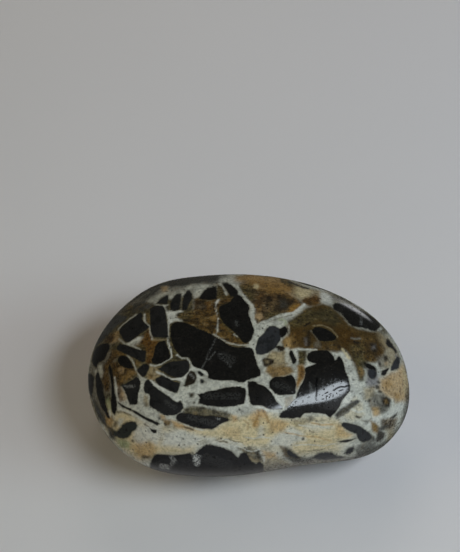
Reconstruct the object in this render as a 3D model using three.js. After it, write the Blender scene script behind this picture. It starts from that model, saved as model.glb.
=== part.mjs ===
// A tumbled and polished pebble of brecciated jasper: one solid stone, longer than it is wide,
// blunt at its left end, narrower and squarer at its right end, with a broad low top,
// soft worn flats all round, and one true flat underneath on which it rests.
//
// Millimetres, +Z up. The origin is on the resting flat, under the middle of the stone's box.
// +X runs along the length, towards the narrower end, and -Y is the side with the steeper flank.
import * as THREE from "three";
import { mergeVertices } from "three/addons/utils/BufferGeometryUtils.js";

// ---- driving dimensions --------------------------------------------------------------------

const LENGTH = 64.5; // end to end, before the worn flats take a little off

// The stone's rounded body is given at stations along its length, as shares of the half length.
// Widths and heights are those of the full round there: they shrink to nothing at the two ends.
const STATIONS = [-1, -2 / 3, -1 / 3, 0, 1 / 3, 2 / 3, 1];
const HALF_WIDTH = [26.5, 25.9, 22.9, 22.0, 20.7, 22.2, 28.2];
const HALF_HEIGHT = [18.6, 18.0, 15.8, 15.1, 14.9, 15.7, 18.2];
const SIDE_SHIFT = [-0.4, 0.2, -0.2, 0.5, 0.9, -0.5, -2.2]; // the middle line's way across, +Y
const LIFT = [-0.9, 0.0, 0.5, 0.3, 0.5, -0.6, -2.9]; // the middle line's way up, +Z
const STATION_REACH = 0.28; // how far a station's value is felt, as a share of the half length

// Flats worn by tumbling: the way each one faces, in degrees, its distance from the middle of
// the stone, and how softly it runs out into the round body.
const WORN_FLATS = [
  { name: "broad top", azimuth: -90, elevation: 78, distance: 15.1, softness: 1.2 },
  { name: "front flank", azimuth: -84, elevation: -2, distance: 22.7, softness: 1.0 },
  { name: "right front corner", azimuth: -48, elevation: 6, distance: 27.5, softness: 1.2 },
  { name: "right end", azimuth: 4, elevation: 10, distance: 32.6, softness: 0.8 },
  { name: "back left corner", azimuth: 128, elevation: -8, distance: 25.5, softness: 1.0 },
  { name: "back right corner", azimuth: 52, elevation: -5, distance: 26.0, softness: 1.0 },
  { name: "underside", azimuth: 0, elevation: -90, distance: 14.4, softness: 1.0 },
  { name: "left end, low", azimuth: 195, elevation: -22, distance: 31.2, softness: 0.8 },
];
const REST_DEPTH = 13.7; // from the middle of the stone down to the true flat it rests on

const ROUNDS = 15; // splits of the starting icosahedron's edges: 20 x (15 + 1)^2 = 5120 triangles

// ---- shape ---------------------------------------------------------------------------------

// The value of a list of station values at a share of the half length, blended smoothly.
function along(values, share) {
  let sum = 0;
  let weights = 0;
  STATIONS.forEach((station, i) => {
    const weight = Math.exp(-(((share - station) / STATION_REACH) ** 2));
    sum += weight * values[i];
    weights += weight;
  });
  return sum / weights;
}

// The rounded body's surface point in the direction of a point on the unit sphere.
function roundBody(direction) {
  const share = direction.x;
  return new THREE.Vector3(
    (LENGTH / 2) * share,
    along(SIDE_SHIFT, share) + along(HALF_WIDTH, share) * direction.y,
    along(LIFT, share) + along(HALF_HEIGHT, share) * direction.z,
  );
}

// Presses a point back behind one worn flat, with a soft edge.
function wear(point, flat) {
  const facing = new THREE.Vector3().setFromSphericalCoords(
    1,
    THREE.MathUtils.degToRad(90 - flat.elevation),
    THREE.MathUtils.degToRad(flat.azimuth),
  );
  const normal = new THREE.Vector3(facing.z, facing.x, facing.y); // from +Y up to +Z up
  const over = (point.dot(normal) - flat.distance) / flat.softness;
  const softOver = flat.softness * (Math.max(over, 0) + Math.log1p(Math.exp(-Math.abs(over))));
  return point.addScaledVector(normal, -softOver);
}

function pebbleGeometry() {
  const ball = new THREE.IcosahedronGeometry(1, ROUNDS);
  ball.deleteAttribute("normal");
  ball.deleteAttribute("uv");
  const pebble = mergeVertices(ball, 1e-5);
  const places = pebble.getAttribute("position");
  const direction = new THREE.Vector3();
  for (let i = 0; i < places.count; i++) {
    direction.fromBufferAttribute(places, i).normalize();
    const point = WORN_FLATS.reduce(wear, roundBody(direction));
    point.z = Math.max(point.z, -REST_DEPTH);
    places.setXYZ(i, point.x, point.y, point.z);
  }
  pebble.computeBoundingBox();
  const box = pebble.boundingBox;
  pebble.translate(-(box.min.x + box.max.x) / 2, -(box.min.y + box.max.y) / 2, -box.min.z);
  pebble.computeVertexNormals();
  return pebble;
}

// ---- the stone -----------------------------------------------------------------------------

const polishedStone = new THREE.MeshStandardMaterial({
  color: new THREE.Color().setRGB(0.27, 0.24, 0.17, THREE.SRGBColorSpace),
  roughness: 0.16,
  metalness: 0,
});

const pebble = new THREE.Mesh(pebbleGeometry(), polishedStone);
pebble.name = "pebble";

const brecciatedJasper = new THREE.Group();
brecciatedJasper.add(pebble);

export default brecciatedJasper;
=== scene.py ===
"""A tumbled and polished pebble of brecciated jasper, lying on a plain pale studio floor.

Near-black angular fragments sit in a pale grey-green and cream ground, with patches of ochre and
speckled brown. The whole stone is one piece, which stands for the solid "pebble".
"""

import math

import bmesh
import bpy
import numpy as np
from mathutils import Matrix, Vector, noise


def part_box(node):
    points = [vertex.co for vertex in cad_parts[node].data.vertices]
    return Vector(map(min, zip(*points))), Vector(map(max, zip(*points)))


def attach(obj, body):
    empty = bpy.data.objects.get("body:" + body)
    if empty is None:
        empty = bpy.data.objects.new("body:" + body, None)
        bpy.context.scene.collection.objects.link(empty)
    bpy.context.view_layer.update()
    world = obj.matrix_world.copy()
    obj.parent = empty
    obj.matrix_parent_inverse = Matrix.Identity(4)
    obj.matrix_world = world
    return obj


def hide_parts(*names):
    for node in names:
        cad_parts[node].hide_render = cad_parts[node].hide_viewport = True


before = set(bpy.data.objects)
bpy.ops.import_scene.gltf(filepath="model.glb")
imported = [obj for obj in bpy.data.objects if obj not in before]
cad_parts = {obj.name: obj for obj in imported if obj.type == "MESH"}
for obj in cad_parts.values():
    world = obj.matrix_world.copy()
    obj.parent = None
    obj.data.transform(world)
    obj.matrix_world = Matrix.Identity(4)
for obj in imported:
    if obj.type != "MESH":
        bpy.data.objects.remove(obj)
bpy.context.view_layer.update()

MM = 0.001  # lengths below are in millimetres unless they say otherwise

# ---- the stone's shape -----------------------------------------------------------------------
# The rounded body is given at stations along its length, as shares of the half length.

LENGTH = 64.5  # end to end, before the worn flats take a little off
STATIONS = np.array([-1, -2 / 3, -1 / 3, 0, 1 / 3, 2 / 3, 1])
HALF_WIDTH = np.array([26.5, 25.9, 22.9, 22.0, 20.7, 22.2, 28.2])
HALF_HEIGHT = np.array([18.6, 18.0, 15.8, 15.1, 14.9, 15.7, 18.2])
SIDE_SHIFT = np.array([-0.4, 0.2, -0.2, 0.5, 0.9, -0.5, -2.2])
LIFT = np.array([-0.9, 0.0, 0.5, 0.3, 0.5, -0.6, -2.9])
STATION_REACH = 0.28  # how far a station's value is felt, as a share of the half length

# Flats worn by tumbling: azimuth and elevation faced, distance from the middle, softness.
WORN_FLATS = [
    (-90, 78, 15.1, 1.2),
    (-84, -2, 22.7, 1.0),
    (-48, 6, 27.5, 1.2),
    (4, 10, 32.6, 0.8),
    (128, -8, 25.5, 1.0),
    (52, -5, 26.0, 1.0),
    (0, -90, 14.4, 1.0),
    (195, -22, 31.2, 0.8),
]
REST_DEPTH = 13.7  # from the middle of the stone down to the flat it rests on

FACE_SPLITS = 128  # squares along each side of the starting cube: 6 x 128 x 128 x 2 triangles
CROWDING = 0.4  # how far the squares are drawn towards the side that is looked at

# ---- the viewing point and its drawing sheet -------------------------------------------------
# The markings are drawn on a sheet of small squares that stands square to the line of sight.
# x runs to the right and y down, and one square is a fifth of a millimetre at the stone's middle.

SHEET = Vector((460, 552))
SQUARE = 0.2
MIDDLE_ON_SHEET = Vector((248.8, 372.6))
VIEW_ELEVATION = math.radians(52)
VIEW_DISTANCE = 400.0
SENSOR = 36.0

TOWARDS_VIEWER = Vector((0, -math.cos(VIEW_ELEVATION), math.sin(VIEW_ELEVATION)))
SHEET_RIGHT = Vector((1, 0, 0))
SHEET_UP = Vector((0, math.sin(VIEW_ELEVATION), math.cos(VIEW_ELEVATION)))

# ---- the fragments ---------------------------------------------------------------------------
# Each fragment: its finish, how many times softer its edge is than a crisp one, and its outline
# on the sheet.

FRAGMENTS = {
    # upper left
    "lozenge": ("charcoal", 1.0, "119,331 121,328 125,324 130,320 135,316.5 138,313.5 141,312.5 143,315"
        " 142,319 143.5,322 147,324.5 149.5,327 147,329.5 138,335.5 130,342 127.5,342.5 124,340.5"
        " 120,333.5"),
    "tall_block": ("charcoal", 1.0, "150,308.5 153,306.5 158,305.5 163,306 165,309 166,314 168,330 168,337"
        " 165,337.8 153,337 151,333 150,318"),
    "cap_wedge": ("charcoal", 1.5, "156.5,303.5 160,299 166,295.5 168.5,295 168.5,300 167.5,304 162,304"),
    "rim_dome": ("charcoal", 1.4, "170.5,311 170,305 172,299 175,295.5 178,293 181,293.5 181,300 180,308"
        " 177,311"),
    "rim_twin": ("charcoal", 1.4, "183.5,296 187,291 190,290 192,294 192.3,299 189.5,303 187,310.5"
        " 182,310.5 182,303"),
    "rim_slope": ("black", 1.6, "199,299 201,294.5 204,290.5 208,287.7 213,286.3 216.5,286 217,292 217,299"
        " 208,299.8"),
    "rim_bean": ("black", 1.4, "222,283 226,282.5 231,284.5 235,287.5 238,292 238.5,296 234.5,297.5"
        " 230.5,296.5"),
    "left_shoulder": ("smoky", 2.2, "88,354 92,344 105,325 112,318 118,315 125,315.5 128,317.5 124,321.5"
        " 118,325.5 108,334.5 100,343 94,348"),
    # left end
    "left_block": ("black", 1.4, "104,343.5 108,343 110,346 109.5,350 105,359 98,364 96.5,368 94,366.5"
        " 92,361 92.5,355 95,349 99,345.5"),
    "slab": ("charcoal", 1.0, "119.3,343.6 123,344.3 138,349.4 146,351.2 145.3,361.5 142.5,362.6 134,357.8"
        " 119,350.8 116.6,349.3 117.4,346"),
    "dome": ("black", 1.2, "117,359 119,357 122,355.5 126,356 128.5,358 132.5,365 134,368.5 129,368.5"
        " 125,367.5 121,365.5 118,362.5"),
    "rough_bit": ("charcoal", 1.2, "143,363.5 147,364 149.5,367 148,371 146,375 143,377 136.5,371 138,368.5"
        " 141,366"),
    "trapezoid": ("charcoal", 1.0, "120.5,384.5 125,384 129,381.5 133,379.5 136,376.5 139,378 140.5,382"
        " 140,387 138.5,392 137.5,403.5 134,405 129.5,404.5 126,394 123.5,389"),
    "left_blade": ("black", 1.2, "109.5,364 112.5,370 113.7,384 114.7,391 117.4,405 116.8,410 114.5,415"
        " 112.3,413 111,407 110.8,400 111.6,392 111.4,384 108.5,368"),
    "left_sliver": ("charcoal", 1.3, "95.7,374 98,371.5 100,376 101.7,381 103.2,387 103.8,393 106.3,405"
        " 110,418.5 107,417.5 101,406 98.5,400 96.6,393 95.6,385"),
    "end_sliver": ("charcoal", 1.6, "87,373 91,373.5 94.3,377 93.8,384 92.5,391 92,398 90,394 86,380"),
    "rim_sliver": ("smoky", 1.8, "95.5,404 99,409 105,421 106.5,426 103.5,423 100,418 96.5,411"),
    "left_needle": ("charcoal", 0.9, "117,400.5 119.5,403 124,406 137,411.6 142,415 148,418 158,422.3"
        " 160,424 157,425.3 145,419.5 139,416 134,412.4 128,409.4 122,407 118.5,404"),
    "green_black": ("green_slate", 1.6, "112,430.5 116,431.5 119,429 122,425 127,422 132,421.3 136,422.3"
        " 137.5,426 136.5,429.5 133,431.5 131,434.5 128,438 124,438.7 118,438 114,435.5"),
    "chip": ("charcoal", 1.0, "150,428.3 153,429.4 156.8,430 156.3,432.8 153.5,433.2 151,431"),
    "large_left": ("charcoal", 1.0, "146,380 148.5,379.5 151,382 153,385 157,388.5 169,396.5 173,400"
        " 177,402.3 180,401 183,404 183.7,408 181,411.3 177,414 172,415.5 167,415.5 162,414 152.5,408"
        " 149.5,405.5 149,401 150,397.5 149,394 145,393 143.5,389 144,384"),
    # middle
    "left_of_middle": ("black", 1.0, "158.5,342 161,341 165.5,341.5 167,345 170.3,355 169.7,359 161,363.5"
        " 157,364.5 152.5,363 151.5,360 153.5,356 154.5,350 156,345"),
    "great_block": ("black", 1.0, "170,330 171,326 173.5,323 177,321.8 181,322 187,323 197,328 212,334.3"
        " 215,336.5 229,345 235,347 250,347.5 252,348.5 253.8,352 256.5,362 260.3,371 260.8,375.5 255,377.7"
        " 250,379.2 243,382.3 239,382.5 236,381.2 232,380.5 219,380.5 213,379.7 208.3,378.5 208,373.5"
        " 206,371 202,369.2 194,366.8 192,364 191,361 189.5,358.5 187,357 182,357 179,354.5 174.5,349"
        " 170.8,338"),
    "fish": ("charcoal", 1.0, "157.5,369 161,367 165,364 169,362 174,361 186,360 188.7,362 189.5,367"
        " 189,371 186,374 182,377 178,377.7 173,377 169,375.5 165,372.5 161,371"),
    "boot": ("charcoal", 1.0, "155,379 159,376.5 164,376 168,378 172,380.5 179.7,383 179,388 177.7,392.5"
        " 175,393.3 160,386 156.5,383"),
    "tooth": ("umber", 1.2, "187,375.5 189,372 191,370.6 193.5,371.5 195.8,374.5 196.7,378 195.8,381"
        " 193.5,383.8 186,386.8 184,385.8"),
    "crumb": ("charcoal", 1.0, "197.5,370.6 200.5,371 203.3,374 203.3,376 201,376 198.2,373.5"),
    "green_crumb": ("slate", 1.2, "200,379.3 203,379 204.5,381.5 203,383.8 200.5,383.3"),
    "tall_centre": ("black", 1.0, "236,294 239,294.5 242,297 244.5,300.5 247.5,303.5 249.3,306 249.7,309"
        " 248.5,313 254.2,330 253.8,334 252.2,338 250.3,341 246,343.3 243,342.3 238.5,337 230.5,328.8"
        " 226.5,326 223.5,323 221.5,320 220,317 218.5,309 220,306 226,304 231,301 233,297.5"),
    "slate_bud": ("blue_slate", 1.0, "256.3,345 257.3,341.5 258.8,338 264.5,332.5 266,329 269,326.5"
        " 273,325.3 280,328.5 281.5,334 280.5,340 275,348.3 265,354.2 261,355 256.3,354.3 255.5,349"),
    "bud_tip": ("black", 1.3, "279,328.7 283,326.3 285.5,325.8 288.2,329 287.7,332 285.2,335.3 282,338"
        " 279.5,337 277,333 277,330"),
    "bud_foot": ("umber", 1.4, "275,346.3 279,345.5 283.3,346 284.7,349 282,351.7 278,350.3"),
    "seed": ("black", 1.0, "290,350.5 292.3,350.7 296.7,360 295.6,363 293,364.3 291.5,361 289.3,353.5"),
    "long_block": ("black", 1.0, "197.5,394.3 203,393.3 206,391.7 212,390.7 226,387.5 232,386.6 238,386.6"
        " 245,388 246,390 246,395 245.2,400 243.7,403.7 235,406 228,406.8 222,407 215,406.6 208,405.6"
        " 198.3,403.7 199,400.5 200.3,398"),
    "anvil": ("black", 1.0, "247.3,381.5 252,381 256,382 259,384 265,386.5 270,391 272.3,394 276,400.5"
        " 282,407 282,409 270,409.2 266,407.7 262,405.2 253,405.5 250.3,403.3 248.3,394"),
    "round_block": ("black", 1.0, "269.3,384 269.8,381.3 272,378.7 275,376.8 284,376.8 291.5,374.3"
        " 293.3,377 295.3,381 296.3,384 295.8,388 295.8,393.7 290,394.7 284,395.2 279,395.2 275,393.2"
        " 269.3,387.5"),
    # right
    "great_right": ("black", 1.0, "307,355 309,352.5 312,351 322,350 328,350.5 331,353 333,356 335,360"
        " 336.5,359 338,356.3 340,355.8 342,359 343.7,363 345.7,372 348,377 349.2,381 350.3,386 350,391"
        " 345,396.5 342.3,400.5 340.3,405 337.3,410 334.3,413.5 332,415.5 330.3,418.3 325.5,414 320,413"
        " 312,412.8 305,413.2 302,415.2 300.3,418 297,417.3 293,418.7 279,417.3 280.5,413.5 284,410.5"
        " 286.5,410 288,407 290,404.5 293,401 295.5,399 296.5,395 298,391 303.5,380 305,376 305.5,372"
        " 304.3,368.7 307,366.7 312,365.5 316,363.7 309,361.7 307.3,359"),
    "cushion": ("black", 1.0, "312,329.5 315,327.3 319,326.9 323,327.9 328,330 331,331.4 334,334 336.2,337"
        " 335.9,340 331,341.2 325,341.4 319.5,341 312.3,332"),
    "back_right": ("black", 1.4, "332.5,305.5 334.5,303.5 338,302.6 342,302.9 347,304.2 352,306.3 361,311"
        " 365.5,312.8 370,315.6 374,318.5 378,322.3 380.5,326.3 376,331 372,331 367,329 362,327.8 357,327.3"
        " 352,326 349,323.5 343.5,316 340,313.3 336,311 333.5,308.5"),
    "right_sliver": ("charcoal", 1.3, "387,338.3 389.3,340 391.6,343 397.5,352.3 396,353.3 393.3,350"
        " 390.5,347.6 387.5,346.7 386,344 386.2,341"),
    "right_hook": ("blue_slate", 1.4, "398,355.8 400,358.5 399.8,363 399,367.5 397.5,369.3 391,370.7"
        " 391,367.3 392.5,363.5 394.3,360"),
    "right_chip": ("charcoal", 1.0, "381.3,371 389.3,367.7 386,374.5 383.5,375.8 381.2,374.5"),
    "slate_chip": ("blue_slate", 1.4, "367.5,370 370,368.5 374,369.5 376.5,372 376.3,376 374,379 370,378.5"
        " 368,375"),
    "chip_crown": ("black", 1.4, "362.5,361.5 370,363.8 374,366 376.8,369.5 376.5,371.5 369.5,369.3"
        " 366,367"),
    # lower front
    "shoulder_slab": ("black", 1.2, "175.7,418 177,415.3 180,413 184,412.5 190,413.5 196,415 205,416"
        " 213,415.5 220,416.5 226,418 231,420 222,423.3 219,425 216,427.5 212,429.3 200,428.5 194,427.2"
        " 183,423 178,421.5"),
    "comma": ("slate", 1.2, "341.5,423.5 344,422.3 348,422.5 357,425 361.5,427 368.5,432 371,435 372,438"
        " 369,440.3 365,441.5 361,442.2 358.5,439.7 357,436 357,433.7 353,432.7 349,431 345,428.5 342,426"),
    "right_needle": ("charcoal", 1.0, "338,441.6 344,440 356.5,438.3 352,440.7 347,442.2 341,442.7"),
    "front_right_tooth": ("slate", 1.6, "344.5,453.5 346.5,450 349,447.3 351,447.5 354,445.5 354,448.5"
        " 352.5,452 350.5,454 347,454.5"),
    "front_right_dome": ("ash", 1.8, "312.5,458 316,454.5 320,452.5 326,451.8 332,452.5 336,455 341,456.5"
        " 346,457 340,459 330,460 318,460"),
    "front_tail": ("slate", 1.6, "286,451 290,450 293,452 296,455 300,458 296,458.5 291,457 288,454.5"),
    "front_mass": ("black", 1.3, "150,464 152,459 154.5,455 158,454 175,455 185,454 190,452.5 194,455"
        " 203,446.3 206.5,444.4 210,444.4 220,446.5 230,450.5 233.5,453 236,456 238.3,457.3 240,454.5"
        " 242.5,452.8 246,453 248.5,455.5 249.5,459 252.5,462 256,463.5 260,461.5 263.5,464.5 264,484"
        " 150,484"),
}

# ---- the ground between them -----------------------------------------------------------------
# The ground is pale, and stained by other minerals; the dark bands along the rims and the grey along the
# bottom rim are painted shade. The stains are laid one over the other: mineral, half the width of the
# border in squares, strength, and the outline on the sheet.

STAINS = [
    # fields that run beneath the fragments
    ("olive", 2, 0.95, "98,362 94,346 104,330 118,316 132,304 146,301 162,296 172,300 190,296 201,297"
        " 216,297 217,284 226,287 234,294 242,320 249,345 236,350 214,345 200,360 189,366 186,376 180,384"
        " 177,391 166,388 156,382 146,378 138,378 128,386 112,386 104,392 98,380"),
    ("brown", 2, 1.0, "173,316 184,313 193,310 194,299 201,297 216,297 217,284 228,288 236,298 245,325"
        " 249,344 236,347 222,346 200,340 180,330"),
    ("brown", 3, 0.95, "240,283 250,281 262,288 280,290 296,296 303,303 303,307 288,314 264,323 255,324"
        " 251,312 249,303 243,296"),
    # the far rim, from the left end over the top: the dark bands along it are painted shade, darkening the
    # rim as it turns away
    ("smoke_and_rim_shade", 4, 1.0, "84,372 88,352 96,336 106,322 118,309 130,297 142,287 156,279 172,273 192,270 222,271"
        " 226,276 210,279 192,280 178,283 164,287 150,293 138,301 128,309 108,328 100,340"),
    ("grey", 3, 0.8, "120,316 128,307 138,300 150,297 160,290 170,286 184,286 196,282 212,280 216,286"
        " 204,288 199,296 194,300 186,290 178,292 170,295 160,300 156,304 148,302 140,303 130,310 124,316"),
    ("smoke_and_rim_shade", 2, 0.95, "166,283 180,279.5 192,277 205,275 220,274 219,281.5 196,283 172,287"),
    ("pale", 1.8, 0.95, "184,288 192,284.5 200,284 214,285 210,287.5 203,291 199,297 195,299 190,290"),
    ("grey", 2.2, 0.8, "118,314 126,306 134,300.5 142,297.5 146,300 138,304 131,309 124,315"),
    ("pale", 2, 0.8, "146,299 156,296 164,292 170,291 168,295 160,298 158,303 152,303"),
    ("smoke_and_rim_shade", 2.5, 0.95, "129,310 137,303 144,300 149,302.5 157,305 145,312 131,314"),
    ("lilac", 2, 0.25, "144,305 150,305 150,309 145,309"),
    ("smoke_and_rim_shade", 2.5, 0.95, "139,299 150,291.5 158,287 167,284 163,289 153,296 146,299.5"),
    ("smoke_and_rim_shade", 2.5, 0.85, "166,284 180,281 192,280 190,284 181,287.5 168,287.5"),
    ("peach", 2, 0.85, "162,287 168,286.5 168,291.5 163,292.5"),
    ("olive", 2.5, 0.7, "121,312 130,304.5 134,307 131,314 123,316"),
    ("smoke_and_rim_shade", 3, 0.8, "204,279 218,277 219,283 213,285.5 206,284"),
    # the brown ground of the upper middle
    ("olive", 2.5, 0.6, "217,283 223,288 227,294 227,300 218,300"),
    ("olive", 2.2, 0.7, "173,315 180,311 193,310 193,316 186,322 180,320"),
    ("umber", 1.5, 0.8, "194,302 201,299.5 206,299.5 204,303 196,306"),
    ("umber", 1.6, 0.6, "195,311 199,311 199,315 195,315"),
    ("smoke_and_rim_shade", 2, 0.5, "195,306 204,303 207,306 205,309 197,309"),
    ("rust", 1.8, 0.9, "206.5,301 210.5,301 211.5,308 208,309.5 206,306"),
    ("ochre", 1.8, 0.8, "210,316 213,314 217,313 217,319 211,320"),
    ("ochre", 2.5, 0.35, "198,315 206,317 206,325 200,324"),
    ("rust", 2, 0.5, "224,300 231,298 230,303 224,305"),
    # tan and brown beyond the middle fragment
    ("amber", 5, 0.95, "236,270 256,269 280,270 298,276 306,284 303,292 296,296 270,293 256,289 246,284"
        " 236,281"),
    ("tan", 3, 0.5, "236,272 262,270 284,273 294,280 280,283 240,280"),
    ("olive", 2, 0.8, "280,277 290,280 300,284 297,287 288,286 280,282"),
    ("rust", 3, 0.5, "256,292 286,296 298,300 298,304 280,300 262,298"),
    ("olive", 3, 0.7, "240,285 250,283 254,290 256,297 248,300 243,294"),
    ("rust", 2.5, 0.6, "254,296 262,295 264,306 260,312 255,310"),
    ("umber", 2, 0.8, "266,295 272,296 271,306 266,306"),
    ("umber", 2, 0.8, "277,295 286,297 293,300 291,307 280,309 273,311 277,302"),
    ("smoke_and_rim_shade", 2, 0.6, "280,300 286,300 287,307 280,308"),
    ("olive", 2.5, 0.8, "264,312 276,311 284,313 274,319 266,321"),
    ("peach", 1.8, 0.75, "255,313 263,313 264,318 259,321 255,319"),
    ("rust", 1.8, 0.4, "287,311 294,303.5 301,307 296,311"),
    ("amber", 1.8, 0.9, "287,311 289,306 294,303.5 299,303 301,307 296,311 289,313.5"),
    ("cream", 1.8, 0.9, "253.5,285 258,284.3 259.5,287 257,289.7 254,289"),
    ("buff", 3, 0.9, "293,283 302,285 316,290 330,293 330,298 322,304 316,306 306,303 298,299 292,294"),
    ("cream", 2.5, 0.75, "297,287 306,289 313,292 309,296 302,297 297,294"),
    ("white", 2.2, 0.9, "321,292 328,294 333,297 332,302 326,305 322,303 320,297"),
    ("olive", 3.5, 0.9, "330,292 344,296 358,303 372,312 384,326 388,336 380,334 376,324 366,316 350,307"
        " 334,304"),
    ("rust", 2, 1.0, "301,301 305,297 311,296.5 316,295 321,298 320,303 316,306 309,306 304,304"),
    ("umber", 1.8, 0.75, "307,300 313,299 315,305 310,306"),
    # left end
    ("grey", 4, 0.9, "88,366 96,350 106,338 116,336 120,350 114,366 112,390 112,410 106,424 96,412 88,392"),
    ("tan", 2, 0.5, "108,341 113,333 119,330 119,341 112,344"),
    ("brown", 2.2, 0.9, "104,343 107,335 112,332 115,337 112,342 108,344"),
    ("olive", 1.8, 0.9, "111,344.5 118,342.5 119,352 113,353 110,349"),
    ("brown", 2, 1.0, "112,350 119,350 127,353 127,356 118,356.5 114,360 112,366 109,372 109,392 104,392"
        " 101,381 100,373 103,366 108,359"),
    ("ochre", 1.6, 0.6, "112,351.5 121,351.5 126,354 118,355.5 112,357"),
    ("ochre", 1.6, 0.5, "102,372 107,372 108,384 104,384"),
    ("brown", 2, 1.0, "111,363 117,362 124,367 134,367 137,371 135,376 130,380 121,385 115,386 112,377"),
    ("ochre", 1.8, 0.8, "124,375 130,371 135,371 136,375 130,379 121,383 119,380"),
    ("peach", 1.6, 0.6, "118,369 122,367.5 124.5,370 123,374.5 119,374"),
    ("olive", 1.8, 0.85, "133,358 139,358.5 142,363 138,368 134,366"),
    ("ochre", 1.6, 0.6, "135,360 139,360.5 140,364 136,366"),
    ("rust", 1.8, 1.0, "149,326 152,332 153,338.5 159,339.5 158,347 156,354 153,361 147,366 145.5,362"
        " 146,352 141,350 135,347 137,341 142,337"),
    ("olive", 1.8, 0.8, "135,345.5 141,343 146,346 146,351 140,349.5"),
    ("white", 1.6, 0.6, "128,343 138,337.5 143,337 139,344 134,346"),
    ("pale", 1.5, 0.6, "133,340 139,336.5 143,336 140,341 136,343"),
    ("olive", 1.8, 0.8, "144,309 150,307 151,327 147,326 145,318"),
    ("ochre", 1.5, 0.5, "146,312 149,311 149.5,323 147,322"),
    ("buff", 1.6, 0.95, "149,364.5 156,366 161,371 160,376 155,380 149,380 147,375 149,370"),
    ("ochre", 1.4, 0.8, "149.5,373 153,373.5 153,378 149.5,378"),
    ("olive", 2, 0.55, "171,353 177,353 183,358 182,361 172,361"),
    ("olive", 1.6, 0.8, "169,337 174,338 176,350 178,355 173,355 171,348"),
    ("pale", 2, 0.8, "97,362 101,364 103,372 101,379 97.5,376"),
    ("cream", 1.6, 0.8, "104,403 109,402 111,410 111,417 108,415"),
    ("olive", 2, 0.8, "104,393 110,393 111,402 106,403"),
    # painted shade: a dark band along the lower left rim
    ("smoke_and_rim_shade", 2, 0.8, "92,395 97,402 103,412 108,424 103,426 97,417 92,406"),
    ("ochre", 2.2, 0.9, "106,417 111,417 114,421 112,430 106,430 104,424"),
    ("rust", 1.6, 0.8, "116.5,384 120.5,385 123,392 123,400 119,402 117,394"),
    ("peach", 1.4, 0.6, "121,388 125,393 127,399 124,401 121,396"),
    # brown field on the right
    ("chestnut", 2.6, 1.0, "286,322 293,317 300,313 305,308 314,305 322,303 331,305 344,316 350,324 358,328"
        " 378,332 385,337 387,346 385,354 382,361 374,362 366,362 362,370 363,380 359,380 354,366 349,356"
        " 344,350 338,353 330,352 316,351.5 303,349.5 297,347 290,345 288,336"),
    ("olive", 3.5, 0.75, "288,321 298,314 308,309 320,311 326,318 312,323 298,326 289,327"),
    ("olive", 3, 0.9, "318,312 330,307 338,314 342,322 334,326 322,322"),
    ("umber", 4, 0.35, "318,312 330,307 340,314 344,324 334,327 322,322"),
    ("brown", 2.5, 0.8, "354,341 364,338 374,340 384,344 384,356 376,361 366,360 356,358 352,350"),
    ("brown", 2.5, 0.7, "290,338 298,332 306,338 304,346 318,345 336,343 344,348 336,352 316,351 300,349"),
    ("pale", 1.6, 0.9, "376.5,327.5 380.5,326.5 382,329.5 380,332 376.8,331.5"),
    ("russet", 3.5, 0.9, "336,329 350,329 357,335 353,348 344,348 337,338"),
    ("russet", 2.5, 0.7, "292,330 303,328 305,345 297,348 291,343"),
    ("olive", 3, 0.7, "350,345 362,344 364,352 364,362 354,360"),
    ("umber", 2.2, 0.5, "364,342 378,341 384,346 380,354 366,353"),
    ("smoke_and_rim_shade", 2, 0.6, "370,343 376,343.5 377,350 371,350"),
    ("lilac", 1.6, 0.5, "371.5,345 375,345 375,348 372,348"),
    ("russet", 2.2, 0.7, "377,341 382,343 383,353 379,354"),
    ("umber", 1.8, 0.75, "307,330 311,330 310,338 311,345 307,346 305.5,338"),
    ("grey", 1.8, 0.55, "314,342 320,342 321,348 314,348"),
    ("lilac", 1.5, 0.5, "304.5,338 307,338 307,345 305,345"),
    ("olive", 2, 0.9, "357,364 361,364 365,371 364,380 360,380"),
    ("ochre", 1.8, 0.8, "359,367 362,367 364,372 363,377 360,376"),
    ("ochre", 2, 1.0, "281,341 286,336 292,337.5 297,342 298,348.5 291,349.5 284,348"),
    ("tan", 2.2, 0.5, "284,341 287,338 291,340 293,345 289,348 285,346"),
    ("rust", 1.5, 0.6, "293,340 296,341 296,346 293,345"),
    # middle
    ("buff", 2.5, 0.95, "266,356 272,350 279,351 286,349 290,352 290,364 281,369 270,369 264,365"),
    ("cream", 2, 0.3, "268,353 276,352 282,355 281,362 274,360 268,357"),
    ("ochre", 2.2, 0.95, "266,372 268,365 275,367 283,366 291,367 293,373 284,377 273,377.5"),
    ("umber", 1.2, 0.95, "261.3,361 263,358.3 267,358.3 273,360 273.5,363.5 268,367 263.5,366.5"),
    ("buff", 1.0, 0.9, "265.5,361 268,361 268.5,363.5 266,364"),
    ("pale", 1.6, 0.8, "285,347 289,347 289.5,356 289,364 285.5,362"),
    ("olive", 2, 1.0, "297,351 306,350 307,357 305,364 298,366"),
    ("amber", 2, 1.0, "297,366 303,364 305,369 304.5,377 297,391 295,386 297,377"),
    ("rust", 1.8, 1.0, "299.5,367 303,366.5 304,371 303,378 299.5,377"),
    ("grey", 2, 0.5, "203,373 207,373 208,378 207,383 204,383"),
    ("grey", 2.2, 0.25, "188,394 192.5,392.5 194.5,397 193,402 195,404 192,410 187,410 188.5,401"),
    ("olive", 1.4, 0.7, "189.5,393.5 192.5,393 193,397 190,398"),
    ("buff", 1.8, 0.8, "145,394 149,396 149.5,406 146,406 144,400"),
    ("buff", 1.8, 0.8, "284,398 291,396 293,401 287,407 284,407"),
    ("olive", 2.2, 0.9, "184,409 192,406.5 204,406.8 218,409.5 228,412 233,416 230,421 216,420 184,416"),
    ("grey", 3, 0.5, "236,409 256,408 258,418 240,421"),
    # front: a cream and tan band
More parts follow.
